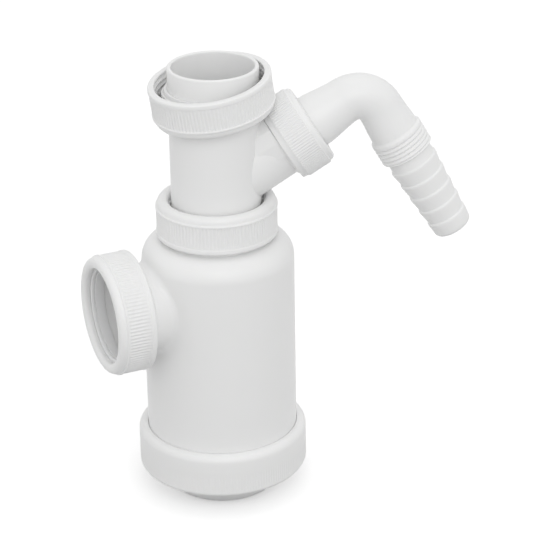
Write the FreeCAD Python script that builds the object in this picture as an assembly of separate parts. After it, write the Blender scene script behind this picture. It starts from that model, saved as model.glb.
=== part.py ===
import FreeCAD, Part
from math import sin, cos, tan, radians, sqrt
import os

# Bottle trap. Millimetres, +Z up the bottle's axis, z = 0 on the cap's flat underside,
# outlet along -X. The photo's 40 mm tee tube sets the scale of every size read off it.

# Fits between pieces
screw_gap = 0.3         # thread flanks drawn as plain walls, radial
seat_gap = 0.3          # a seal or ring above what it sits on
stack_gap = 0.1         # a seal or ring under what presses it
grip_gap = 0.05         # a seal's lip round its tube, radial
ring_gap = 0.45         # slip ring round its tube, radial

# Tee tube
tube_r = 20.0
tube_wall = 1.8
tube_top_z = 204.1
tube_foot_z = 27.0
tube_rise = 67.8        # of the tube above the bottle's neck

# Seat shared by the neck and the outlet
seal_wall = 0.9         # bore beyond the tube, which the seal takes up
seat_flare = 1.2        # the seat's mouth beyond its bore
seat_depth = 3.6
seal_brim = 0.6         # the seal's lip beyond the seat's mouth
seal_lip = 1.1
neck_wall = 3.0
neck_height = 13.7      # above the shoulder
neck_bore_r = tube_r + seal_wall
neck_r = neck_bore_r + neck_wall
seat_mouth_r = neck_bore_r + seat_flare
seal_rim_r = seat_mouth_r + seal_brim

# Bottle
body_r = 34.25
body_wall = 2.65
body_bottom_z = 15.6
neck_top_z = tube_top_z - tube_rise
shoulder_z = neck_top_z - neck_height
shoulder_wall = 3.0
shoulder_flat = 0.85    # level strip between the rounding and the neck
shoulder_round = body_r - neck_r - shoulder_flat
round_wall = 2.5        # between the shoulder's outer and inner roundings
inner_round = shoulder_round - round_wall
cap_thread_step = 0.95
cap_thread_r = body_r - cap_thread_step

# Outlet spigot, axis along -X
outlet_drop = 26.9      # axis below the shoulder
outlet_z = shoulder_z - outlet_drop
spigot_step = 4.3       # threaded collar beyond the spigot
spigot_wall = 1.8
spigot_r = neck_r - spigot_step
spigot_bore_r = spigot_r - spigot_wall
spigot_collar = 13.0    # length of the threaded collar
socket_depth = 10.8     # how far an outlet pipe slides in
spigot_reach = 16.35    # beyond the bottle's side
spigot_end = body_r + spigot_reach
spigot_neck = spigot_end - spigot_collar
socket_stop = spigot_end - socket_depth
saddle_round = 3.4

# Cap
cap_wall = 4.35         # outside the bottle's side
cap_r = body_r + cap_wall
cap_floor = 2.4
cap_seal_t = 1.6
cap_seal_width = 2.5
cap_seat_z = body_bottom_z - cap_seal_t - seat_gap
cap_base = 2.7          # cap's ledge below the seal's seat
cap_low_z = cap_seat_z - cap_base
cap_top_z = 31.6
cap_lip = 2.4           # mouth above the thread
cap_thread_top_z = cap_top_z - cap_lip
boss_ledge = 5.2        # level ring between the cap's side and the boss
boss_slope = 9.6        # how far the boss narrows
boss_round = 6.0
boss_root_r = cap_r - boss_ledge
boss_r = boss_root_r - boss_slope

# Union nut of the inlet, the neck and the outlet
nut_wall = 3.3
nut_r = neck_r + nut_wall
nut_h = 17.0
nut_hole_gap = 1.3      # round the tube
nut_hole_r = tube_r + nut_hole_gap
nut_flange = 3.4
nut_ribs = 104
rib_depth = 0.45
slip_ring_t = 1.5
nut_back = nut_h - nut_flange - slip_ring_t - seal_lip - seat_gap * 2 - stack_gap

# Hose elbow
hose_tube_r = 12.1
hose_inner_end = 28.0
hose_taper_start = 53.0
hose_taper = 1.8        # stem's radius beyond the bend's
hose_wall = 2.1
hose_bend_r = hose_tube_r - hose_taper
hose_bore_r = hose_bend_r - hose_wall
hose_corner = 79.7      # along the branch's axis
hose_bend = 91.6        # degrees
hose_swing = -5.2       # degrees about the branch's axis
hose_bend_radius = 11.6
collar_at = 25.3        # from here on along the tail
collar_ring = 3.2
collar_pitch = 2.0
collar_turns = 4
collar_height = 1.2
collar_groove = 0.8
tail_flare = 0.8        # tail's root beyond the bend
tail_root_r = hose_bend_r + tail_flare
collar_r = tail_root_r + collar_height
collar_root_r = collar_r - collar_groove
barb_lead = 16.0        # first barb after the collar's start
barb_at = collar_at + barb_lead
barb_step = 7.4
barb_count = 5
barb_rise = 0.1         # first barb's crest beyond the tail's root
barb_taper = 1.8        # first crest to the last
barb_first_r = tail_root_r + barb_rise
barb_last_r = barb_first_r - barb_taper
barb_bite = 0.75
tip_length = 0.6
tail_end = barb_at + barb_step * barb_count + tip_length
tip_wall = 2.8
tip_bore_r = barb_last_r - tip_wall

# Branch of the tee
branch_drop = 56.4      # tube's top above where the two axes meet
branch_z = tube_top_z - branch_drop
branch_turn = -13.6     # degrees from +X
branch_rise = 31.3      # degrees above level
branch_end = 44.2
branch_wall = 4.05
branch_step = 1.9       # threaded end beyond the branch
branch_collar = 10.2    # length of the threaded end
branch_ledge = 1.35     # stop for the stem, inside the bore
branch_flare = 1.55     # seat's mouth beyond the bore
branch_bore_r = hose_tube_r + ring_gap
branch_thread_r = branch_bore_r + branch_wall
branch_r = branch_thread_r - branch_step
branch_thread_start = branch_end - branch_collar
branch_stop = 25.5
branch_inner_r = branch_bore_r - branch_ledge
branch_mouth_r = branch_bore_r + branch_flare
branch_seat_depth = 2.6
branch_seal_lip = 1.0
hood_start = 5.0        # along the branch, inside the tube
hood_cover = 0.2        # over the threaded end
hood_inset = 4.7        # narrower than the branch at its start
hood_spread = 0.9       # wider than the branch at its end
hood_rise = 3.0         # above the branch
hood_end = branch_thread_start + hood_cover
hood_start_half = branch_r - hood_inset
hood_end_half = branch_r + hood_spread
hood_top = branch_r + hood_rise

# Branch nut
small_nut_grip = 9.0    # how far the nut reaches over the branch
small_nut_start = branch_end - small_nut_grip
small_nut_h = 15.9
small_nut_wall = 2.6
small_nut_r = branch_thread_r + small_nut_wall
small_nut_hole_gap = 0.8    # round the stem
small_nut_hole_r = hose_tube_r + small_nut_hole_gap
small_nut_flange = 3.0
small_nut_ribs = 92
small_ring_t = 1.2

# Loose inlet nut, leaning on the branch nut
lean = 9.0              # degrees
lean_side = 9.6         # degrees from +X, the high side
lean_shift = 0.3        # off the tube's axis, to the high side
lean_drop = 20.5        # tube's top above the middle of the flange
lean_height = tube_top_z - lean_drop
loose_ring_inner_r = neck_bore_r
loose_seal_rise = 7.8   # underside of the seal's lip above the flange
loose_seal_z = lean_height + loose_seal_rise


def corner_points(before, corner, after, radius):
    a = before - corner
    b = after - corner
    half = a.getAngle(b) / 2
    reach = radius / tan(half)
    a.normalize()
    b.normalize()
    middle = a + b
    middle.normalize()
    centre = corner + middle * (radius / sin(half))
    return corner + a * reach, centre - middle * radius, corner + b * reach


def outline(corners):
    # closed face in the XZ plane from (r, z) or (r, z, corner radius)
    points = [FreeCAD.Vector(c[0], 0, c[1]) for c in corners]
    runs = []
    for i, c in enumerate(corners):
        if len(c) == 3:
            before = points[i - 1]
            after = points[(i + 1) % len(points)]
            runs.append(corner_points(before, points[i], after, c[2]))
        else:
            runs.append((points[i],))
    edges = []
    for i, run in enumerate(runs):
        if len(run) == 3:
            edges.append(Part.Arc(run[0], run[1], run[2]).toShape())
        start = run[-1]
        end = runs[(i + 1) % len(runs)][0]
        if start.distanceToPoint(end) > 1e-6:
            edges.append(Part.makeLine(start, end))
    return Part.Face(Part.Wire(edges))


def turned(corners):
    axis = FreeCAD.Vector(0, 0, 1)
    return outline(corners).revolve(FreeCAD.Vector(0, 0, 0), axis, 360)


def laid(shape, origin, direction):
    # moves a shape drawn up Z so that it stands on origin along direction
    turn = FreeCAD.Rotation(FreeCAD.Vector(0, 0, 1), direction)
    placed = shape.copy()
    placed.Placement = FreeCAD.Placement(origin, turn)
    return placed


def rod(radius, start, end):
    return Part.makeCylinder(radius, end - start, FreeCAD.Vector(0, 0, start))


def star(radius, depth, count, low, high):
    points = []
    for i in range(count * 2):
        r = radius if i % 2 == 0 else radius - depth
        a = radians(180.0 * i / count)
        points.append(FreeCAD.Vector(r * cos(a), r * sin(a), low))
    points.append(points[0])
    return Part.Face(Part.makePolygon(points)).extrude(FreeCAD.Vector(0, 0, high - low))


def union_nut():
    # open end at z = 0, flange on top
    core = nut_r - rib_depth - 0.6
    band_low = 2.7
    band_high = nut_h - 4.2
    thread_r = neck_r + screw_gap
    blank = turned([
        (thread_r, 0), (nut_r, 0, 0.7), (nut_r, 2.4, 0.3), (core, 2.4), (core, band_high),
        (nut_r - 0.05, band_high, 0.3), (nut_r - 0.05, band_high + 0.9, 0.4),
        (nut_r - 0.9, band_high + 1.1, 0.3), (nut_r - 0.9, nut_h, 2.6),
        (nut_hole_r, nut_h, 2.2), (nut_hole_r, nut_h - nut_flange),
        (thread_r, nut_h - nut_flange)])
    ribs = star(nut_r - 0.1, rib_depth, nut_ribs, 2.4, band_high)
    ribs = ribs.cut(rod(core - 0.3, 2.0, band_high + 1))
    return blank.fuse(ribs).removeSplitter()


def branch_nut_blank():
    core = small_nut_r - rib_depth - 0.5
    top = small_nut_h
    thread_r = branch_thread_r + screw_gap
    blank = turned([
        (thread_r, 0), (small_nut_r - 0.8, 0, 0.5), (small_nut_r - 0.8, 1.9, 0.3),
        (core, 1.9), (core, top - 2.9), (small_nut_r - 0.1, top - 2.9, 0.2),
        (small_nut_r - 0.1, top - 2.3, 0.2), (small_nut_r - 1.3, top - 2.3),
        (small_nut_r - 1.3, top, 1.6), (small_nut_hole_r, top, 0.8),
        (small_nut_hole_r, top - small_nut_flange), (thread_r, top - small_nut_flange)])
    ribs = star(small_nut_r, rib_depth, small_nut_ribs, 1.9, top - 2.9)
    ribs = ribs.cut(rod(core - 0.3, 1.0, top))
    return blank.fuse(ribs).removeSplitter()


def slip_ring(inner, outer, thick):
    return turned([(inner, 0), (outer, 0, 0.3), (outer, thick, 0.3), (inner, thick)])


def wedge_seal(inner, mouth, bore, depth, rim, lip):
    # points down into a cone, flat lip on top; z = 0 at the lip's underside
    tip = depth - 0.5
    tip_r = mouth - seat_gap - (mouth - bore) / depth * tip
    return turned([
        (inner, -tip), (tip_r, -tip, 0.15), (mouth - seat_gap, 0), (rim, 0, 0.25),
        (rim, lip, 0.4), (inner, lip)])


def bottle_cavity():
    inner = body_r - body_wall
    return turned([
        (0, body_bottom_z - 1), (inner, body_bottom_z - 1),
        (inner, shoulder_z - shoulder_wall, inner_round), (0, shoulder_z - shoulder_wall)])


def bottle_shell():
    inner = body_r - body_wall
    top = shoulder_z
    return turned([
        (inner, body_bottom_z), (cap_thread_r, body_bottom_z, 0.5),
        (cap_thread_r, cap_thread_top_z), (body_r, cap_thread_top_z + 0.9),
        (body_r, top, shoulder_round), (neck_r, top + 1.5, 0.8),
        (neck_r, neck_top_z, 0.4), (seat_mouth_r, neck_top_z),
        (neck_bore_r, neck_top_z - seat_depth), (neck_bore_r, top - shoulder_wall),
        (inner, top - shoulder_wall, inner_round)])


def spigot_blank():
    # drawn up Z from the bottle's axis
    flare = spigot_neck + 1.6
    return turned([
        (0, 0), (spigot_r, 0), (spigot_r, spigot_neck), (neck_r - 0.8, flare),
        (neck_r, flare + 0.7), (neck_r, spigot_end, 0.4), (0, spigot_end)])


def spigot_bore():
    mouth = spigot_end - seat_depth
    return turned([
        (0, 0), (spigot_bore_r, 0), (spigot_bore_r, socket_stop), (neck_bore_r, socket_stop),
        (neck_bore_r, mouth), (seat_mouth_r, spigot_end), (seat_mouth_r, spigot_end + 5),
        (0, spigot_end + 5)])


def edges_near(shape, test):
    return [e for e in shape.Edges if test(e)]


def bottle_body():
    outward = FreeCAD.Vector(-1, 0, 0)
    centre = FreeCAD.Vector(0, 0, outlet_z)
    shell = bottle_shell()
    spigot = laid(spigot_blank(), centre, outward).cut(bottle_cavity())
    body = shell.fuse(spigot).removeSplitter()

    def on_saddle(edge):
        box = edge.BoundBox
        inside = box.XMin > -body_r - 0.1 and box.XMax < 0
        level = box.ZMin > outlet_z - spigot_r - 0.5 and box.ZMax < outlet_z + spigot_r + 0.5
        point = edge.valueAt((edge.FirstParameter + edge.LastParameter) / 2)
        out = sqrt(point.x ** 2 + point.y ** 2) > body_r - 0.6
        return inside and level and out

    saddle = min(saddle_round, shoulder_round * 0.8)
    body = body.makeFillet(saddle, edges_near(body, on_saddle))
    return body.cut(laid(spigot_bore(), centre, outward)).removeSplitter()


def bottom_cap():
    thread_r = cap_thread_r + screw_gap
    mouth_r = body_r + 0.4
    step_r = cap_thread_r - cap_seal_width - 1.0
    return turned([
        (0, 0), (boss_r, 0, boss_round), (boss_root_r, cap_low_z, 0.8), (cap_r, cap_low_z, 2.2),
        (cap_r, cap_top_z, 3.4), (mouth_r, cap_top_z, 0.4), (mouth_r, cap_thread_top_z + 0.2),
        (thread_r, cap_thread_top_z - 0.6), (thread_r, cap_seat_z), (step_r, cap_seat_z, 0.6),
        (boss_r - 1.6, cap_floor, 2.0), (0, cap_floor)])


def cap_seal():
    low = cap_seat_z + stack_gap
    outer = cap_thread_r - 0.1
    inner = outer - cap_seal_width
    return turned([
        (inner, low), (outer, low, 0.3), (outer, low + cap_seal_t, 0.3),
        (inner, low + cap_seal_t)])


def branch_line():
    turn = radians(branch_turn)
    rise = radians(branch_rise)
    return FreeCAD.Vector(cos(rise) * cos(turn), cos(rise) * sin(turn), sin(rise))


def branch_origin():
    return FreeCAD.Vector(0, 0, branch_z)


def along_branch(s):
    return branch_origin() + branch_line() * s


def branch_blank():
    s = branch_thread_start
    return turned([
        (0, 0), (branch_r, 0), (branch_r, s - 0.8), (branch_thread_r - 0.5, s),
        (branch_thread_r, s + 0.5), (branch_thread_r, branch_end, 0.4), (0, branch_end)])


def branch_hollow():
    mouth = branch_end - branch_seat_depth
    return turned([
        (0, 0), (branch_inner_r, 0), (branch_inner_r, branch_stop), (branch_bore_r, branch_stop),
        (branch_bore_r, mouth), (branch_mouth_r, branch_end), (branch_mouth_r, branch_end + 4),
        (0, branch_end + 4)])


def hood_section(s, half):
    # closed arch square to the branch, from its axis up
    line = branch_line()
    side = FreeCAD.Vector(0, 0, 1).cross(line)
    side.normalize()
    lift = line.cross(side)
    lift.normalize()
    right = [(half, 0), (half * 0.97, 7), (half * 0.82, hood_top * 0.76)]
    right.append((half * 0.45, hood_top * 0.95))
    left = [(-a, b) for a, b in reversed(right)]
    arch = right + [(0, hood_top)] + left + right[:1]
    return Part.makePolygon([along_branch(s) + side * a + lift * b for a, b in arch])


def branch_hood():
    start = hood_section(hood_start, hood_start_half)
    end = hood_section(hood_end, hood_end_half)
    return Part.makeLoft([start, end], True, True)


def inlet_tee():
    inner = tube_r - tube_wall
    tube = turned([
        (inner, tube_foot_z, 0.4), (tube_r, tube_foot_z, 0.4), (tube_r, tube_top_z, 0.8),
        (inner, tube_top_z, 0.8)])
    channel = rod(inner, tube_foot_z + 3, tube_top_z - 3)
    branch = laid(branch_blank(), branch_origin(), branch_line()).fuse(branch_hood())
    tee = tube.fuse(branch.cut(channel)).removeSplitter()
    hollow = laid(branch_hollow(), branch_origin(), branch_line())
    return tee.cut(hollow).removeSplitter()


def bend_frames():
    down = FreeCAD.Vector(0, 0, -1)
    line = branch_line()
    down = down - line * down.dot(line)
    down.normalize()
    side = line.cross(down)
    swing = radians(hose_swing)
    toward = down * cos(swing) + side * sin(swing)
    bend = radians(hose_bend)
    tail = line * cos(bend) + toward * sin(bend)
    return line, toward, tail


def tail_point(t):
    line, toward, tail = bend_frames()
    return along_branch(hose_corner) + tail * t


def bend_run():
    # stations round the bend: centre, direction
    line, toward, tail = bend_frames()
    cut = hose_bend_radius * tan(radians(hose_bend) / 2)
    start = along_branch(hose_corner - cut)
    hub = start + toward * hose_bend_radius
    stations = []
    steps = 6
    for i in range(steps + 1):
        a = radians(hose_bend) * i / steps
        centre = hub - toward * (hose_bend_radius * cos(a)) + line * (hose_bend_radius * sin(a))
        stations.append((centre, line * cos(a) + toward * sin(a)))
    return cut, stations


def hoop(centre, direction, radius):
    return Part.Wire(Part.makeCircle(radius, centre, direction))


def elbow_skin():
    line, toward, tail = bend_frames()
    cut, stations = bend_run()
    hoops = [hoop(along_branch(hose_taper_start), line, hose_tube_r)]
    reach = hose_corner - cut
    for share in (0.35, 0.7):
        s = hose_taper_start + (reach - hose_taper_start) * share
        r = hose_tube_r + (hose_bend_r - hose_tube_r) * share
        hoops.append(hoop(along_branch(s), line, r))
    for centre, direction in stations:
        hoops.append(hoop(centre, direction, hose_bend_r))
    for share in (0.5, 1.0):
        t = cut + (collar_at + 0.5 - cut) * share
        r = hose_bend_r + (tail_root_r - hose_bend_r) * share
        hoops.append(hoop(tail_point(t), tail, r))
    return Part.makeLoft(hoops, True, False)


def elbow_bore():
    line, toward, tail = bend_frames()
    cut, stations = bend_run()
    entry = laid(rod(hose_bore_r, 0, hose_corner - cut), branch_origin(), line)
    hoops = [hoop(centre, direction, hose_bore_r) for centre, direction in stations]
    bend = Part.makeLoft(hoops, True, False)
    wide = laid(rod(hose_bore_r, cut, barb_at), tail_point(0), tail)
    narrow = laid(rod(tip_bore_r, barb_at - 1, tail_end + 2), tail_point(0), tail)
    return entry.fuse([bend, wide, narrow])


def tail_corners():
    corners = [(0, collar_at), (collar_r - 0.1, collar_at, 0.5)]
    z = collar_at + collar_ring
    corners += [(collar_r - 0.1, z, 0.3), (collar_root_r, z + 0.2)]
    for i in range(collar_turns):
        low = z + 0.4 + collar_pitch * i
        corners += [(collar_root_r, low), (collar_r, low + 0.7), (collar_r, low + 1.0)]
        corners.append((collar_root_r, low + 1.7))
    end = z + 0.4 + collar_pitch * collar_turns
    corners += [(collar_root_r, end + 0.1), (tail_root_r - 0.9, end + 0.5)]
    for i in range(barb_count):
        share = i / (barb_count - 1)
        crest = barb_first_r + (barb_last_r - barb_first_r) * share
        low = barb_at + barb_step * i
        corners += [(crest - barb_bite, low), (crest, low + 0.15), (crest, low + 0.8)]
    corners += [(barb_last_r - 0.7, tail_end, 2.0), (0, tail_end)]
    return corners


def hose_elbow():
    line, toward, tail = bend_frames()
    stem = laid(rod(hose_tube_r, hose_inner_end, hose_taper_start), branch_origin(), line)
    end = laid(turned(tail_corners()), tail_point(0), tail)
    solid = stem.fuse([elbow_skin(), end]).removeSplitter()
    return solid.cut(elbow_bore()).removeSplitter()


def leaning_axis():
    a = radians(lean)
    side = radians(lean_side)
    return FreeCAD.Vector(-sin(a) * cos(side), -sin(a) * sin(side), cos(a))


def leaning_seat():
    # centre of the loose nut's flange, half way through its thickness
    side = radians(lean_side)
    return FreeCAD.Vector(lean_shift * cos(side), lean_shift * sin(side), lean_height)


def loose_nut_place():
    # origin at the nut's open end, which looks up
    return leaning_seat() + leaning_axis() * (nut_h - nut_flange / 2)


def on_loose_nut(shape, height):
    # height up from the flange's inner face, along the nut's own axis
    start = leaning_seat() + leaning_axis() * (nut_flange / 2 + height)
    return laid(shape, start, leaning_axis())


def build():
    up = FreeCAD.Vector(0, 0, 1)
    down = FreeCAD.Vector(0, 0, -1)
    outward = FreeCAD.Vector(-1, 0, 0)
    line = branch_line()
    nut = union_nut()
    big_ring = slip_ring(tube_r + ring_gap, neck_r - 0.1, slip_ring_t)
    big_seal = wedge_seal(tube_r + grip_gap, seat_mouth_r, neck_bore_r, seat_depth,
                          seal_rim_r, seal_lip)
    small_seal = wedge_seal(hose_tube_r + grip_gap, branch_mouth_r, branch_bore_r,
                            branch_seat_depth, branch_thread_r - 0.5, branch_seal_lip)
    small_ring = slip_ring(hose_tube_r + 0.4, branch_thread_r - 0.1, small_ring_t)
    nodes = {}
    nodes["bottle_body"] = bottle_body()
    nodes["bottom_cap"] = bottom_cap()
    nodes["cap_seal"] = cap_seal()
    z = neck_top_z - nut_back
    nodes["neck_nut"] = laid(nut, FreeCAD.Vector(0, 0, z), up)
    ring_z = z + nut_h - nut_flange - seat_gap - slip_ring_t
    nodes["neck_slip_ring"] = laid(big_ring, FreeCAD.Vector(0, 0, ring_z), up)
    seal_z = neck_top_z + seat_gap
    nodes["neck_seal"] = laid(big_seal, FreeCAD.Vector(0, 0, seal_z), up)
    nodes["inlet_tee"] = inlet_tee()
    nodes["inlet_nut"] = laid(nut, loose_nut_place(), leaning_axis() * -1)
    loose_ring = slip_ring(loose_ring_inner_r, neck_r - 0.1, slip_ring_t)
    nodes["inlet_slip_ring"] = on_loose_nut(loose_ring, stack_gap)
    seal_z = loose_seal_z + seal_lip
    nodes["inlet_seal"] = laid(big_seal, FreeCAD.Vector(0, 0, seal_z), down)
    reach = spigot_end - nut_back
    nodes["outlet_nut"] = laid(nut, FreeCAD.Vector(-reach, 0, outlet_z), outward)
    reach += nut_h - nut_flange - seat_gap - slip_ring_t
    nodes["outlet_slip_ring"] = laid(big_ring, FreeCAD.Vector(-reach, 0, outlet_z), outward)
    reach = spigot_end + seat_gap
    nodes["outlet_seal"] = laid(big_seal, FreeCAD.Vector(-reach, 0, outlet_z), outward)
    nodes["branch_nut"] = laid(branch_nut_blank(), along_branch(small_nut_start), line)
    s = small_nut_start + small_nut_h - small_nut_flange - seat_gap - small_ring_t
    nodes["branch_slip_ring"] = laid(small_ring, along_branch(s), line)
    nodes["branch_seal"] = laid(small_seal, along_branch(branch_end + seat_gap), line)
    nodes["hose_elbow"] = hose_elbow()
    return nodes


os.makedirs("parts", exist_ok=True)
for name, shape in build().items():
    solids = shape.Solids
    print(name, shape.isValid(), len(solids), round(shape.Volume / 1000, 2))
    shape.exportStep("parts/" + name + ".step")
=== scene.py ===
from math import atan2, cos, pi, radians, sin, tan

import bmesh
import bpy
from mathutils import Matrix, Vector


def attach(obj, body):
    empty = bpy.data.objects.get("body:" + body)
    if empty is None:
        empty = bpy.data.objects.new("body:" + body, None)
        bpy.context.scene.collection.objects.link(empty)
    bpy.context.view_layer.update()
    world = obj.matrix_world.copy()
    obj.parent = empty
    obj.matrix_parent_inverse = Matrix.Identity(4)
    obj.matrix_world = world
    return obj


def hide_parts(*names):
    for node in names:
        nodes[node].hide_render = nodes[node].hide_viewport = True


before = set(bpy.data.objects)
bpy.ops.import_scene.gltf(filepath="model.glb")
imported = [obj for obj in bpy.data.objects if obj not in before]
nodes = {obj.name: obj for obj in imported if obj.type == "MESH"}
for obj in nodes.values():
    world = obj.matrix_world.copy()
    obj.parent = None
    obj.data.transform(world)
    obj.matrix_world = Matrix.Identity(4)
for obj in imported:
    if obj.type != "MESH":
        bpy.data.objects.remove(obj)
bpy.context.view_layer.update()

mm = 0.001
scene = bpy.context.scene


class Val:
    # a socket that takes part in plain expressions

    def __init__(self, tree, socket):
        self.tree = tree
        self.socket = socket

    def maths(self, operation, *values):
        return self.tree.add("Math", {"operation": operation}, dict(enumerate(values)))

    def __add__(self, other):
        return self.maths("ADD", self, other)

    def __radd__(self, other):
        return self.maths("ADD", other, self)

    def __sub__(self, other):
        return self.maths("SUBTRACT", self, other)

    def __rsub__(self, other):
        return self.maths("SUBTRACT", other, self)

    def __mul__(self, other):
        return self.maths("MULTIPLY", self, other)

    def __truediv__(self, other):
        return self.maths("DIVIDE", self, other)

    def __mod__(self, other):
        return self.maths("FLOORED_MODULO", self, other)

    def floor(self):
        return self.maths("FLOOR", self)

    def cosine(self):
        return self.maths("COSINE", self)

    def sine(self):
        return self.maths("SINE", self)

    def wave(self):
        # from nought up to one and back over each full turn
        return 0.5 - self.cosine() * 0.5


class Tree:
    # adds nodes to one node tree: type, settings, then values or links

    def __init__(self, nodeTree, family):
        self.nodeTree = nodeTree
        self.family = family

    def add(self, kind, settings=None, inputs=None, output=0):
        prefix = "ShaderNode" if kind in ("Math", "VectorMath") else self.family
        node = self.nodeTree.nodes.new(prefix + kind)
        for key, value in (settings or {}).items():
            setattr(node, key, value)
        for key, value in (inputs or {}).items():
            self.put(node.inputs[key], value)
        return Val(self, node.outputs[output])

    def put(self, socket, value):
        if isinstance(value, Val):
            self.nodeTree.links.new(value.socket, socket)
        else:
            socket.default_value = value

    def out(self, val, output):
        return Val(self, val.socket.node.outputs[output])


# Shared lines, in millimetres: the branch leaves the tube's axis at its foot

outletHeight = 95.7
outletLine = Vector((-1, 0, 0))
branch = {"turn": -13.6, "rise": 31.3, "height": 147.7}
branchLine = Vector((cos(radians(branch["rise"])) * cos(radians(branch["turn"])),
                     cos(radians(branch["rise"])) * sin(radians(branch["turn"])),
                     sin(radians(branch["rise"]))))
branchFoot = Vector((0, 0, branch["height"]))
pipePitch = 2.309       # 11 threads to the inch


# Materials

maleThread = {"beside": 0.5, "wallFade": 0.2, "endFade": 0.8}
bottleThreads = [
    {"foot": (0, 0, 0), "axis": (0, 0, 1), "radius": 23.9, "low": 126.8, "high": 135.6,
     "pitch": pipePitch, "depth": 0.6},
    {"foot": (0, 0, outletHeight), "axis": outletLine, "radius": 23.9, "low": 41.0, "high": 49.9,
     "pitch": pipePitch, "depth": 0.6},
    {"foot": (0, 0, 0), "axis": (0, 0, 1), "radius": 33.3, "low": 16.6, "high": 28.4,
     "pitch": 4.0, "depth": 0.8}]
branchThreads = [
    {"foot": branchFoot, "axis": branchLine, "radius": 16.6, "low": 35.9, "high": 43.4,
     "pitch": pipePitch, "depth": 0.6}]


def threadRelief(tree, place, threads):
    # grooves of male threads, which show where a nut or the cap is screwed off, in metres
    def within(value, low, high, fade):
        edges = {0: (value - low * mm) / (fade * mm), 1: (high * mm - value) / (fade * mm)}
        return tree.add("Math", {"operation": "MINIMUM", "use_clamp": True}, edges)

    relief = 0.0
    beside, endFade = maleThread["beside"], maleThread["endFade"]
    for cut in threads:
        line = Vector(cut["axis"]).normalized()
        across = (Vector((0, 1, 0)) - line * line.y).normalized()
        offset = tree.add("VectorMath", {"operation": "SUBTRACT"},
                          {0: place, 1: Vector(cut["foot"]) * mm})
        along, a, b = (
            tree.add("VectorMath", {"operation": "DOT_PRODUCT"}, {0: offset, 1: way}, "Value")
            for way in (line, across, line.cross(across)))
        reach = tree.add("Math", {"operation": "SQRT"}, {0: a * a + b * b})
        angle = tree.add("Math", {"operation": "ARCTAN2"}, {0: b, 1: a})
        turns = (along / (cut["pitch"] * mm) * (2 * pi) - angle).wave()
        wall = within(reach, cut["radius"] - beside, cut["radius"] + beside, maleThread["wallFade"])
        band = within(along, cut["low"], cut["high"], endFade)
        relief = relief - band * wall * turns * (cut["depth"] * mm)
    return relief


def mouldedPlastic(name, look, threads=()):
    # plain white moulding: faint clouding, a fine mould grain and a soft sheen
    material = bpy.data.materials.new(name)
    material.use_nodes = True
    shader = material.node_tree.nodes["Principled BSDF"]
    tree = Tree(material.node_tree, "ShaderNode")
    place = tree.add("TexCoord", output="Object")

    def noise(kind):
        return tree.add("TexNoise", {}, {"Vector": place, "Scale": look[kind + "Scale"],
                                         "Detail": look[kind + "Detail"]})

    cloud, grain, flow = noise("cloud"), noise("grain"), noise("flow")
    middle, spread = look["noiseMiddle"], look["roughSpread"]
    tint = tree.add("Mix", {"data_type": "RGBA"},      # its colours are sockets 6, 7 and result 2
                    {0: cloud, 6: look["dark"], 7: look["light"]}, 2)
    rough = look["rough"] + (grain - middle) * spread + (flow - middle) * spread
    height = grain * look["grainShare"] + flow
    if threads:
        height = height + threadRelief(tree, place, threads) / look["bumpDepth"]
    bump = tree.add("Bump", {}, {"Strength": look["bump"], "Distance": look["bumpDepth"],
                                 "Height": height})
    tree.put(shader.inputs["Base Color"], tint)
    tree.put(shader.inputs["Roughness"], rough)
    tree.put(shader.inputs["Normal"], bump)
    shader.inputs["IOR"].default_value = look["ior"]
    shader.inputs["Subsurface Weight"].default_value = look["depth"]
    shader.inputs["Subsurface Radius"].default_value = look["reach"]
    shader.inputs["Subsurface Scale"].default_value = 1.0
    return material


plainLook = {
    "light": (0.90, 0.90, 0.895, 1), "dark": (0.88, 0.883, 0.88, 1),
    "cloudScale": 28.0, "cloudDetail": 3.0, "grainScale": 2600.0, "grainDetail": 2.0,
    "flowScale": 190.0, "flowDetail": 1.0, "noiseMiddle": 0.5, "rough": 0.40, "roughSpread": 0.10,
    "grainShare": 0.6, "bump": 0.10, "bumpDepth": 0.00002, "ior": 1.49, "depth": 0.12,
    "reach": (0.004, 0.004, 0.0036)}
threadedLook = {**plainLook, "bump": 1.0, "bumpDepth": 0.000002}
nutLook = {**plainLook, "rough": 0.43, "cloudScale": 45.0, "depth": 0.15}
sealLook = {**plainLook, "light": (0.885, 0.885, 0.88, 1), "dark": (0.86, 0.863, 0.86, 1),
            "rough": 0.52, "depth": 0.3}
shellPlastic = mouldedPlastic("shellPlastic", plainLook)
bottlePlastic = mouldedPlastic("bottlePlastic", threadedLook, bottleThreads)
teePlastic = mouldedPlastic("teePlastic", threadedLook, branchThreads)
nutPlastic = mouldedPlastic("nutPlastic", nutLook)
sealPlastic = mouldedPlastic("sealPlastic", sealLook)
print("materials made")


# Sections: corners as (radius, height) or (radius, height, rounding), in millimetres

def roundedRun(corners, closed=True, turnStep=12.0):
    count = len(corners)
    run = []
    for i, corner in enumerate(corners):
        here = Vector(corner[:2])
        if len(corner) == 2 or (not closed and i in (0, count - 1)):
            run.append(here)
            continue
        rounding = corner[2]
        before = (Vector(corners[i - 1][:2]) - here).normalized()
        after = (Vector(corners[(i + 1) % count][:2]) - here).normalized()
        half = before.angle(after) / 2
        centre = here + (before + after).normalized() * (rounding / sin(half))
        first = here + before * (rounding / tan(half)) - centre
        last = here + after * (rounding / tan(half)) - centre
        sweep = atan2(first.x * last.y - first.y * last.x, first.dot(last))
        steps = max(2, round(abs(sweep) / radians(turnStep)))
        for j in range(steps + 1):
            a = sweep * j / steps
            run.append(centre + Vector((first.x * cos(a) - first.y * sin(a),
                                        first.x * sin(a) + first.y * cos(a))))
    return run


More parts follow.
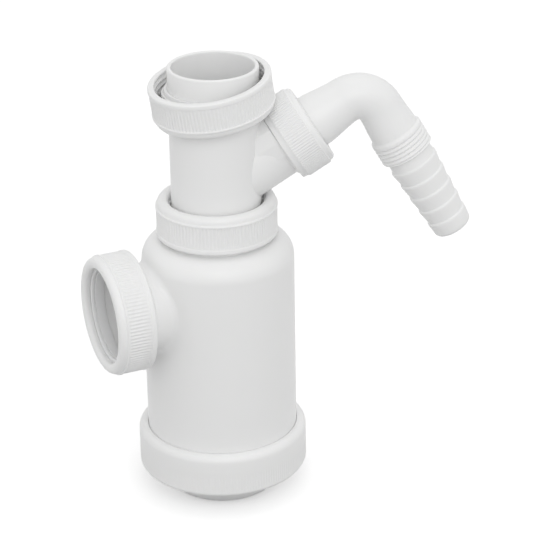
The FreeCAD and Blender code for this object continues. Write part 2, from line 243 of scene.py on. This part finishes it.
def spaced(run, low, high, step, middle, beside):
    # adds points to the straight walls near a radius, between two heights that ribs or threads move
    slack = 1e-3        # for a wall that ends on the band's edge
    full = []
    for i, here in enumerate(run):
        after = run[(i + 1) % len(run)]
        full.append(here)
        span = abs(after.y - here.y)
        inBand = min(here.y, after.y) > low - slack and max(here.y, after.y) < high + slack
        onSide = abs((here.x + after.x) / 2 - middle) < beside
        if inBand and onSide and span > step:
            count = int(span / step)
            full += [here.lerp(after, j / count) for j in range(1, count)]
    return full


def straightFrame(origin, direction, side=(0, 1, 0)):
    # millimetres along an axis to a hub and the two directions square to it
    line = Vector(direction).normalized()
    across = (Vector(side) - line * line.dot(Vector(side))).normalized()
    lift = line.cross(across)
    return lambda z: (Vector(origin) * mm + line * z * mm, across, lift)


def sectionMesh(name, stations):
    # one vertex a station, with what the sweep needs kept as attributes
    mesh = bpy.data.meshes.new(name)
    mesh.from_pydata([s["hub"] for s in stations], [], [])
    for key, kind in (("side", "FLOAT_VECTOR"), ("lift", "FLOAT_VECTOR"), ("radius", "FLOAT"),
                      ("run", "FLOAT"), ("rib", "FLOAT"), ("screw", "FLOAT")):
        field = mesh.attributes.new(key, kind, "POINT")
        for i, station in enumerate(stations):
            if kind == "FLOAT":
                field.data[i].value = station[key]
            else:
                field.data[i].vector = station[key]
    return mesh


def sweepTree(name, material):
    # turns a section right round, sinking ribs along the axis and a screw thread round it
    weldReach = 2e-6        # metres
    group = bpy.data.node_groups.new(name, "GeometryNodeTree")
    face = group.interface
    face.new_socket("Section", in_out="INPUT", socket_type="NodeSocketGeometry")
    for label, kind in (("Steps", "Int"), ("Ribs", "Int"), ("Rib Depth", "Float"),
                        ("Thread Depth", "Float"), ("Thread Pitch", "Float")):
        face.new_socket(label, in_out="INPUT", socket_type="NodeSocket" + kind)
    face.new_socket("Piece", in_out="OUTPUT", socket_type="NodeSocketGeometry")
    tree = Tree(group, "GeometryNode")
    entry = group.nodes.new("NodeGroupInput")
    given = {s.name: Val(tree, s) for s in entry.outputs if s.name}
    section = given["Section"]
    size = tree.add("AttributeDomainSize", {"component": "MESH"}, {0: section})
    sheet = tree.add("MeshGrid", {}, {"Size X": 1.0, "Size Y": 1.0,
                                      "Vertices X": given["Steps"] + 1, "Vertices Y": size + 1})
    index = tree.add("InputIndex")
    column = (index / (size + 1)).floor()
    row = (index % (size + 1)) % size
    angle = column * (2 * pi) / given["Steps"]

    def sampled(field, kind):
        if field == "position":
            source = tree.add("InputPosition")
        else:
            source = tree.add("InputNamedAttribute", {"data_type": kind}, {0: field})
        return tree.add("SampleIndex", {"data_type": kind, "domain": "POINT"},
                        {"Geometry": section, 1: source, "Index": row})

    rib = sampled("rib", "FLOAT") * given["Rib Depth"] * (angle * given["Ribs"]).wave()
    phase = sampled("run", "FLOAT") / given["Thread Pitch"] * (2 * pi) - angle
    screw = sampled("screw", "FLOAT") * given["Thread Depth"] * phase.wave()
    radius = sampled("radius", "FLOAT") - rib - screw
    hub = sampled("position", "FLOAT_VECTOR")

    def stretched(vector, factor):
        return tree.add("VectorMath", {"operation": "SCALE"}, {0: vector, "Scale": factor})

    def summed(a, b):
        return tree.add("VectorMath", {"operation": "ADD"}, {0: a, 1: b})

    across = stretched(sampled("side", "FLOAT_VECTOR"), radius * angle.cosine())
    upward = stretched(sampled("lift", "FLOAT_VECTOR"), radius * angle.sine())
    placed = tree.add("SetPosition", {}, {"Geometry": sheet,
                                          "Position": summed(hub, summed(across, upward))})
    joined = tree.add("MergeByDistance", {}, {"Geometry": placed, "Distance": weldReach})
    smooth = tree.add("SetShadeSmooth", {}, {"Geometry": joined})
    real = tree.add("RealizeInstances", {}, {"Geometry": smooth})
    clothed = tree.add("SetMaterial", {}, {"Geometry": real, "Material": material})
    leave = group.nodes.new("NodeGroupOutput")
    tree.put(leave.inputs["Piece"], clothed)
    return group


def sweptPiece(name, stations, cut, material, body, node):
    # runs the sweep on a section and turns its result into a plain mesh that stands for a node
    settings = {"Steps": cut["steps"], "Ribs": cut.get("ribs", 1),
                "Rib Depth": cut.get("ribDepth", 0.0) * mm,
                "Thread Depth": cut.get("threadDepth", 0.0) * mm,
                "Thread Pitch": cut.get("pitch", pipePitch) * mm}
    carrier = bpy.data.objects.new(name + "Section", sectionMesh(name + "Section", stations))
    scene.collection.objects.link(carrier)
    modifier = carrier.modifiers.new("sweep", "NODES")
    modifier.node_group = sweepTree(name + "Sweep", material)
    for item in modifier.node_group.interface.items_tree:
        if item.in_out == "INPUT" and item.name in settings:
            modifier[item.identifier] = settings[item.name]
    depsgraph = bpy.context.evaluated_depsgraph_get()
    mesh = bpy.data.meshes.new_from_object(carrier.evaluated_get(depsgraph))
    bpy.data.objects.remove(carrier, do_unlink=True)
    work = bmesh.new()
    work.from_mesh(mesh)
    bmesh.ops.recalc_face_normals(work, faces=work.faces[:])
    work.to_mesh(mesh)
    work.free()
    mesh.name = name
    mesh.set_sharp_from_angle(angle=radians(cut["sharp"]))
    piece = bpy.data.objects.new(name, mesh)
    scene.collection.objects.link(piece)
    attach(piece, body)
    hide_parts(node)
    print(name, "faces", len(mesh.polygons))


def stationsOf(run, place, ribBand=None, screwBand=None):
    # stations for a run of (radius, height) points: ribs on the outer wall, thread on its own band
    stations = []
    for point in run:
        hub, side, lift = place(point.y)
        rib = screw = 0.0
        if ribBand:
            low, high, inner = ribBand
            rib = 1.0 if low < point.y < high and point.x > inner else 0.0
        if screwBand:
            low, high, middle, beside, fade = screwBand
            if low < point.y < high and abs(point.x - middle) < beside:
                screw = min(1.0, (point.y - low) / fade, (high - point.y) / fade)
        stations.append({"hub": hub, "side": side, "lift": lift, "radius": point.x * mm,
                         "run": point.y * mm, "rib": rib, "screw": screw})
    return stations


# Union nuts, each up its axis from the thread's mouth. Foot and crown are corners of the outside:
# beyond the radius, above the mouth or the top, and rounding. The thread is cut outward from the
# plain wall that the source has, so that it never meets what runs inside. Steps round the axis are
# a whole number to each rib.

nutThread = {"seatRound": 0.2, "seatLand": 0.6, "seatEnd": 1.2, "mouthEnd": 1.4, "mouthLand": 0.8,
             "past": 0.05, "beside": 0.2, "fade": 1.2, "step": 0.4}
bigNut = {
    "radius": 27.2, "height": 17.0, "hole": 21.3, "flange": 3.4, "thread": 24.2, "low": 0.0,
    "foot": [(0.0, 0.0, 0.8), (0.0, 2.0, 0.5), (-0.25, 2.4, 0.3)],
    "crown": [(-0.2, -4.4, 0.15), (0.05, -4.2, 0.2), (0.05, -3.5, 0.35), (-0.6, -3.15, 0.5),
              (-0.9, 0.0, 2.6)],
    "mouthRound": 0.35, "holeRound": 2.2, "flangeRound": 0.3,
    "wallLow": 2.3, "wallHigh": -4.2, "wallStep": 2.4, "wallBeside": 1.0,
    "ribs": 104, "ribDepth": 0.34, "ribLow": 2.7, "ribHigh": -4.35, "ribBeside": 0.8,
    "pitch": pipePitch, "threadDepth": 0.9, "steps": 832, "sharp": 32.0}
smallNut = {
    "radius": 19.2, "height": 15.9, "hole": 12.9, "flange": 3.0, "thread": 16.9, "low": -0.85,
    "foot": [(-0.9, -0.85, 0.5), (-0.7, 1.2, 0.8), (-0.05, 2.3, 0.8)],
    "crown": [(0.0, -2.9, 0.5), (-0.7, -2.3, 0.5), (-1.2, 0.0, 1.7)],
    "mouthRound": 0.3, "holeRound": 0.8, "flangeRound": 0.2,
    "wallLow": 2.1, "wallHigh": -2.8, "wallStep": 1.6, "wallBeside": 0.6,
    "ribs": 92, "ribDepth": 0.22, "ribLow": 2.3, "ribHigh": -2.95, "ribBeside": 0.6,
    "pitch": pipePitch, "threadDepth": 0.8, "steps": 736, "sharp": 32.0}
nutSpots = {"neck": 126.0, "outlet": 40.3, "branch": 35.2}
lean = {"angle": 9.0, "side": 9.6, "shift": 0.3, "height": 183.6}


def nutPiece(cut, name, body, node, place):
    r, h, wall = cut["radius"], cut["height"], cut["thread"]
    root = wall + cut["threadDepth"]
    seat = h - cut["flange"]
    corners = [(wall, cut["low"], cut["mouthRound"])]
    corners += [(r + out, up, rounding) for out, up, rounding in cut["foot"]]
    corners += [(r + out, h + up, rounding) for out, up, rounding in cut["crown"]]
    corners += [(cut["hole"], h, cut["holeRound"]), (cut["hole"], seat, cut["flangeRound"]),
                (wall, seat, nutThread["seatRound"]), (wall, seat - nutThread["seatLand"]),
                (root, seat - nutThread["seatEnd"]), (root, nutThread["mouthEnd"]),
                (wall, nutThread["mouthLand"])]
    low = nutThread["mouthEnd"] - nutThread["past"]
    high = seat - nutThread["seatEnd"] + nutThread["past"]
    run = spaced(roundedRun(corners), cut["wallLow"], h + cut["wallHigh"], cut["wallStep"],
                 r, cut["wallBeside"])
    run = spaced(run, low, high, nutThread["step"], root, nutThread["beside"])
    stations = stationsOf(run, place, (cut["ribLow"], h + cut["ribHigh"], r - cut["ribBeside"]),
                          (low, high, root, nutThread["beside"], nutThread["fade"]))
    sweptPiece(name, stations, cut, nutPlastic, body, node)


leanAngle = radians(lean["angle"])
leanSide = radians(lean["side"])
leanAxis = Vector((-sin(leanAngle) * cos(leanSide), -sin(leanAngle) * sin(leanSide),
                   cos(leanAngle)))
leanSeat = Vector((lean["shift"] * cos(leanSide), lean["shift"] * sin(leanSide), lean["height"]))
leanMouth = leanSeat + leanAxis * (bigNut["height"] - bigNut["flange"] / 2)
nutPiece(bigNut, "neckNut", "neck_union", "neck_nut",
         straightFrame((0, 0, nutSpots["neck"]), (0, 0, 1)))
nutPiece(bigNut, "inletNut", "inlet_union_nut", "inlet_nut", straightFrame(leanMouth, -leanAxis))
nutPiece(bigNut, "outletNut", "outlet_union", "outlet_nut",
         straightFrame((-nutSpots["outlet"], 0, outletHeight), outletLine))
nutPiece(smallNut, "branchNut", "branch_union", "branch_nut",
         straightFrame(branchFoot + branchLine * nutSpots["branch"], branchLine, (0, 0, 1)))
print("nuts made")


# Hose elbow: a stem along the branch, a bend, then a threaded collar and a barbed tail

elbow = {
    "start": 28.0, "tube": 12.1, "taper": 53.0, "neck": 10.3, "corner": 79.7, "bend": 91.6,
    "swing": -5.2, "bendRadius": 11.6, "bore": 8.2, "tailRoot": 11.1, "taperShare": 0.5,
    "stemSteps": 14, "bendSteps": 28, "tailSteps": 10, "steps": 144, "sharp": 38.0}
collar = {
    "at": 24.7, "radius": 12.3, "foot": -0.2, "shoulderIn": 0.1, "shoulderAt": 0.9,
    "shoulderRound": 0.6, "ring": 1.9, "ringRound": 0.4, "ringEnd": 0.15, "pitch": 1.95,
    "turns": 4.8, "threadDepth": 0.55, "threadAt": 0.3, "step": 0.16, "fade": 0.6, "runout": 0.3,
    "firstPast": 0.2, "lastPast": 0.1, "onCrest": 0.01, "neckIn": 0.8, "neckAt": 0.7}
barb = {
    "at": 41.3, "step": 7.4, "count": 5, "first": 11.2, "last": 9.4, "bite": 0.6,
    "rootAt": -0.1, "rootRound": 0.4, "faceIn": 0.03, "faceAt": 0.5, "faceRound": 0.35,
    "crestAt": 1.2, "crestRound": 0.8, "end": 78.9, "endIn": 0.73, "endRound": 2.0,
    "tipBore": 6.6, "tipRound": 0.4, "boreRound": 0.2, "boreStep": 0.6}


def eased(share):
    return share * share * (3 - 2 * share)


def tailRun():
    # the tail's run from the collar to the inside of the tip, and the thread's two ends
    r, root = collar["radius"], elbow["tailRoot"]
    low = collar["at"] + collar["ring"]
    high = low + collar["pitch"] * collar["turns"]
    run = roundedRun([
        (root, collar["at"] + collar["foot"]),
        (r - collar["shoulderIn"], collar["at"] + collar["shoulderAt"], collar["shoulderRound"]),
        (r, low, collar["ringRound"]), (r, low + collar["ringEnd"])], closed=False)
    count = int((high - low) / collar["step"])
    first = low + collar["threadAt"]
    span = high - low - collar["threadAt"]
    run += [Vector((r, first + span * i / count)) for i in range(count + 1)]
    tip = [(root - collar["neckIn"], high + collar["neckAt"])]
    for i in range(barb["count"]):
        crest = barb["first"] + (barb["last"] - barb["first"]) * i / (barb["count"] - 1)
        at = barb["at"] + barb["step"] * i
        tip += [(crest - barb["bite"], at + barb["rootAt"], barb["rootRound"]),
                (crest - barb["faceIn"], at + barb["faceAt"], barb["faceRound"]),
                (crest, at + barb["crestAt"], barb["crestRound"])]
    tip += [(barb["last"] - barb["endIn"], barb["end"], barb["endRound"]),
            (barb["tipBore"], barb["end"], barb["tipRound"]),
            (barb["tipBore"], barb["at"], barb["boreRound"]),
            (elbow["bore"], barb["at"] - barb["boreStep"])]
    return run + roundedRun(tip, closed=False), low, high


def elbowPiece():
    cut = elbow
    line = branchLine
    down = (Vector((0, 0, -1)) - line * Vector((0, 0, -1)).dot(line)).normalized()
    swing = radians(cut["swing"])
    toward = down * cos(swing) + line.cross(down) * sin(swing)
    bend = radians(cut["bend"])
    tail = line * cos(bend) + toward * sin(bend)
    binormal = line.cross(toward)
    reach = cut["bendRadius"] * tan(bend / 2)
    corner = branchFoot + line * cut["corner"]
    bendHub = corner - line * reach + toward * cut["bendRadius"]

    def station(centre, along, radius, run=0.0, screw=0.0):
        side = binormal.cross(along)
        return {"hub": centre * mm, "side": side, "lift": along.cross(side), "radius": radius * mm,
                "run": run * mm, "rib": 0.0, "screw": screw}

    start = branchFoot + line * cut["start"]
    stations = [station(start, line, cut["tube"])]
    stop = cut["corner"] - reach
    for i in range(cut["stemSteps"] + 1):
        share = i / cut["stemSteps"]
        s = cut["taper"] + (stop - cut["taper"]) * share
        fall = cut["taperShare"] * share + (1 - cut["taperShare"]) * eased(share)
        r = cut["tube"] + (cut["neck"] - cut["tube"]) * fall
        stations.append(station(branchFoot + line * s, line, r))
    arc = []
    for i in range(1, cut["bendSteps"]):
        a = bend * i / cut["bendSteps"]
        spoke = line * sin(a) - toward * cos(a)
        arc.append((bendHub + spoke * cut["bendRadius"], line * cos(a) + toward * sin(a)))
    stations += [station(centre, along, cut["neck"]) for centre, along in arc]
    for i in range(cut["tailSteps"] + 1):
        share = i / cut["tailSteps"]
        t = reach + (collar["at"] - reach) * share
        r = cut["neck"] + (cut["tailRoot"] - cut["neck"]) * eased(share)
        stations.append(station(corner + tail * t, tail, r))
    run, low, high = tailRun()
    for point in run:
        inThread = low + collar["firstPast"] < point.y < high + collar["lastPast"]
        screw = 0.0
        if inThread and abs(point.x - collar["radius"]) < collar["onCrest"]:
            screw = min(1.0, (point.y - low) / collar["fade"],
                        (high + collar["runout"] - point.y) / collar["fade"])
        stations.append(station(corner + tail * point.y, tail, point.x, point.y, screw))
    stations += [station(centre, along, cut["bore"]) for centre, along in reversed(arc)]
    stations.append(station(start, line, cut["bore"]))
    threaded = {**cut, "pitch": collar["pitch"], "threadDepth": collar["threadDepth"]}
    sweptPiece("hoseElbow", stations, threaded, shellPlastic, "elbow", "hose_elbow")


elbowPiece()
print("elbow made")


# Bottom cap: fine grips stand round its lower side

bottomCap = {
    "boss": 23.8, "bossRound": 6.0, "bossRoot": 33.4, "rootRound": 0.8, "radius": 38.58,
    "low": 11.0, "lowRound": 2.2, "top": 31.6, "topRound": 3.4, "mouth": 34.37, "mouthRound": 0.4,
    "thread": 33.6, "threadTop": 29.2, "threadLead": 0.2, "threadEnd": 0.6, "seat": 13.7,
    "seatRound": 0.3, "step": 29.8, "stepRound": 0.6, "hollow": 22.2, "hollowRound": 2.0,
    "floor": 2.4, "turnStep": 9.0, "wallLow": 2.0, "wallHigh": 3.0, "wallStep": 1.5,
    "wallBeside": 0.3, "ribs": 180, "ribDepth": 0.16, "ribLow": 2.1, "ribHigh": 10.5,
    "steps": 720, "sharp": 32.0}


def capPiece():
    cut = bottomCap
    r, low, top = cut["radius"], cut["low"], cut["top"]
    run = roundedRun([
        (0.0, 0.0), (cut["boss"], 0.0, cut["bossRound"]), (cut["bossRoot"], low, cut["rootRound"]),
        (r, low, cut["lowRound"]), (r, top, cut["topRound"]),
        (cut["mouth"], top, cut["mouthRound"]),
        (cut["mouth"], cut["threadTop"] + cut["threadLead"]),
        (cut["thread"], cut["threadTop"] - cut["threadEnd"]),
        (cut["thread"], cut["seat"], cut["seatRound"]),
        (cut["step"], cut["seat"], cut["stepRound"]),
        (cut["hollow"], cut["floor"], cut["hollowRound"]), (0.0, cut["floor"])],
        turnStep=cut["turnStep"])
    run = spaced(run, low + cut["wallLow"], top - cut["wallHigh"], cut["wallStep"],
                 r, cut["wallBeside"])
    stations = stationsOf(run, straightFrame((0, 0, 0), (0, 0, 1)),
                          (low + cut["ribLow"], low + cut["ribHigh"], r - cut["wallBeside"]))
    sweptPiece("bottomCap", stations, cut, nutPlastic, "cap", "bottom_cap")


capPiece()
print("cap made")


# Slip rings and seals, each section up from the face it bears on. The loose nut's ring is wider and
# thinner, and its seal shorter.

slipRing = {"inner": 20.45, "looseInner": 20.9, "outer": 23.8, "thick": 1.72, "looseThick": 1.5,
            "backRound": 0.12, "edgeRound": 0.3, "frontRound": 0.8}
wedgeSeal = {"inner": 20.05, "tip": 20.95, "tipAt": -3.1, "looseTip": 21.4, "looseTipAt": -1.7,
             "mouth": 21.95, "rim": 22.7, "back": -0.12, "lip": 1.15, "footRound": 0.1,
             "tipRound": 0.2, "mouthRound": 0.1, "backRound": 0.2, "rimRound": 0.4,
             "lipRound": 0.15}
ringSweep = {"steps": 128, "sharp": 32.0}
ringSpots = {"neckRing": 137.82, "neckSeal": 136.6, "outletRing": 52.12, "outletSeal": 50.9,
             "looseRing": 1.8, "looseSeal": 192.5}


def ringRun(inner, thick):
    cut = slipRing
    return roundedRun([
        (inner, 0.0, cut["backRound"]), (cut["outer"], 0.0, cut["edgeRound"]),
        (cut["outer"], thick, cut["edgeRound"]), (inner, thick, cut["frontRound"])])


def sealRun(tip, tipAt):
    cut = wedgeSeal
    return roundedRun([
        (cut["inner"], tipAt, cut["footRound"]), (tip, tipAt, cut["tipRound"]),
        (cut["mouth"], cut["back"], cut["mouthRound"]), (cut["rim"], cut["back"], cut["backRound"]),
        (cut["rim"], cut["lip"], cut["rimRound"]), (cut["inner"], cut["lip"], cut["lipRound"])])


def ringPiece(name, run, origin, direction, body, node):
    stations = stationsOf(run, straightFrame(origin, direction))
    sweptPiece(name, stations, ringSweep, sealPlastic, body, node)


def ringPieces():
    spot = ringSpots
    up, down = (0, 0, 1), (0, 0, -1)
    ring = ringRun(slipRing["inner"], slipRing["thick"])
    looseRing = ringRun(slipRing["looseInner"], slipRing["looseThick"])
    seal = sealRun(wedgeSeal["tip"], wedgeSeal["tipAt"])
    looseSeal = sealRun(wedgeSeal["looseTip"], wedgeSeal["looseTipAt"])
    ringPiece("neckRing", ring, (0, 0, spot["neckRing"]), up, "neck_ring", "neck_slip_ring")
    ringPiece("neckSeal", seal, (0, 0, spot["neckSeal"]), up, "neck_gland", "neck_seal")
    ringPiece("outletRing", ring, (-spot["outletRing"], 0, outletHeight), outletLine,
              "outlet_ring", "outlet_slip_ring")
    ringPiece("outletSeal", seal, (-spot["outletSeal"], 0, outletHeight), outletLine,
              "bottle", "outlet_seal")
    ringPiece("inletRing", looseRing, leanSeat + leanAxis * spot["looseRing"], leanAxis,
              "inlet_ring", "inlet_slip_ring")
    ringPiece("inletSeal", looseSeal, (0, 0, spot["looseSeal"]), down, "inlet_gland", "inlet_seal")


ringPieces()
print("rings made")


# Kept nodes

for name, obj in nodes.items():
    finish = {"bottle_body": bottlePlastic, "inlet_tee": teePlastic}.get(name, shellPlastic)
    if "seal" in name or "ring" in name:
        finish = sealPlastic
    elif "nut" in name or "cap" in name:
        finish = nutPlastic
    for materialSlot in obj.material_slots:
        materialSlot.material = finish


# Camera, floor and light

view = {"focal": 2201.68, "pixels": 550, "distance": 0.991457, "tilt": 25.091, "roll": -0.9348,
        "aimX": 0.025428, "aimZ": 0.103733, "turn": -24.0, "sensor": 36.0, "near": 0.05,
        "far": 20.0}
stage = {"floorSize": 6.0, "floorColour": (0.93, 0.93, 0.93, 1), "floorGlow": 0.3,
         "bounceColour": (0.5, 0.5, 0.5, 1), "plainWorld": 0.76, "whiteWorld": 1.0,
         "aim": (0.02, 0, 0.1)}
lamps = {"keyLight": {"size": (0.8, 0.8), "power": 3.4, "place": (0.15, -1.0, 0.85)},
         "topLight": {"size": (1.2, 1.2), "power": 0.5, "place": (0.1, 0.2, 1.5)},
         "sideLight": {"size": (0.5, 1.2), "power": 0.4, "place": (1.1, -0.3, 0.5)},
         "fillLight": {"size": (0.7, 0.9), "power": 0.7, "place": (-1.0, -0.8, 0.3)}}
white = (1, 1, 1, 1)
photoTurn = Matrix.Rotation(radians(view["turn"]), 3, "Z")


def photoSpace(place):
    # a place given as right of, away from and above the object, as the photo looks at it
    return photoTurn @ Vector(place)


def photoCamera():
    tilt, roll = radians(view["tilt"]), radians(view["roll"])
    ahead = Vector((0, cos(tilt), -sin(tilt)))
    right = Vector((1, 0, 0))
    up = right.cross(ahead)
    across = right * cos(roll) + up * sin(roll)
    upright = up * cos(roll) - right * sin(roll)
    place = Vector((view["aimX"], 0, view["aimZ"])) - ahead * view["distance"]
    axes = [photoSpace(v) for v in (across, upright, -ahead)]
    data = bpy.data.cameras.new("photoCamera")
    data.sensor_fit = "HORIZONTAL"
    data.sensor_width = view["sensor"]
    data.lens = view["focal"] / view["pixels"] * view["sensor"]
    data.clip_start, data.clip_end = view["near"], view["far"]
    camera = bpy.data.objects.new("photoCamera", data)
    scene.collection.objects.link(camera)
    turned = Matrix([[axes[c][r] for c in range(3)] for r in range(3)]).to_4x4()
    camera.matrix_world = Matrix.Translation(photoSpace(place)) @ turned
    scene.camera = camera


def lamp(name, size, power, place):
    light = bpy.data.lights.new(name, "AREA")
    light.shape = "RECTANGLE"
    light.size, light.size_y = size
    light.energy = power
    holder = bpy.data.objects.new(name, light)
    scene.collection.objects.link(holder)
    holder.location = photoSpace(place)
    aim = photoSpace(stage["aim"]) - holder.location
    holder.rotation_euler = aim.to_track_quat("-Z", "Y").to_euler()


def whiteSeen(tree):
    # one for the rays that should see a plain white setting: camera, mirror and glass rays
    path = tree.add("LightPath")
    seen = tree.out(path, "Is Camera Ray") + tree.out(path, "Is Glossy Ray")
    return seen + tree.out(path, "Is Transmission Ray")


def floorPiece():
    size = stage["floorSize"]
    mesh = bpy.data.meshes.new("floor")
    mesh.from_pydata([(-size, -size, 0), (size, -size, 0), (size, size, 0), (-size, size, 0)], [],
                     [(0, 1, 2, 3)])
    material = bpy.data.materials.new("paleFloor")
    material.use_nodes = True
    tree = Tree(material.node_tree, "ShaderNode")
    material.node_tree.nodes.clear()
    shown = tree.add("BsdfDiffuse", {}, {"Color": stage["floorColour"]})
    glow = tree.add("Emission", {}, {"Color": white, "Strength": stage["floorGlow"]})
    lit = tree.add("AddShader", {}, {0: shown, 1: glow})
    bounced = tree.add("BsdfDiffuse", {}, {"Color": stage["bounceColour"]})
    mixed = tree.add("MixShader", {}, {0: whiteSeen(tree), 1: bounced, 2: lit})
    end = material.node_tree.nodes.new("ShaderNodeOutputMaterial")
    tree.put(end.inputs["Surface"], mixed)
    mesh.materials.append(material)
    floor = bpy.data.objects.new("floor", mesh)
    scene.collection.objects.link(floor)


def studioWorld():
    world = bpy.data.worlds.new("studio")
    world.use_nodes = True
    scene.world = world
    tree = Tree(world.node_tree, "ShaderNode")
    world.node_tree.nodes.clear()
    plain = tree.add("Background", {}, {"Color": white, "Strength": stage["plainWorld"]})
    bright = tree.add("Background", {}, {"Color": white, "Strength": stage["whiteWorld"]})
    mixed = tree.add("MixShader", {}, {0: whiteSeen(tree), 1: plain, 2: bright})
    end = world.node_tree.nodes.new("ShaderNodeOutputWorld")
    tree.put(end.inputs["Surface"], mixed)


photoCamera()
floorPiece()
for name, settings in lamps.items():
    lamp(name, **settings)
studioWorld()
scene.view_settings.view_transform = "Standard"
print("stage set")
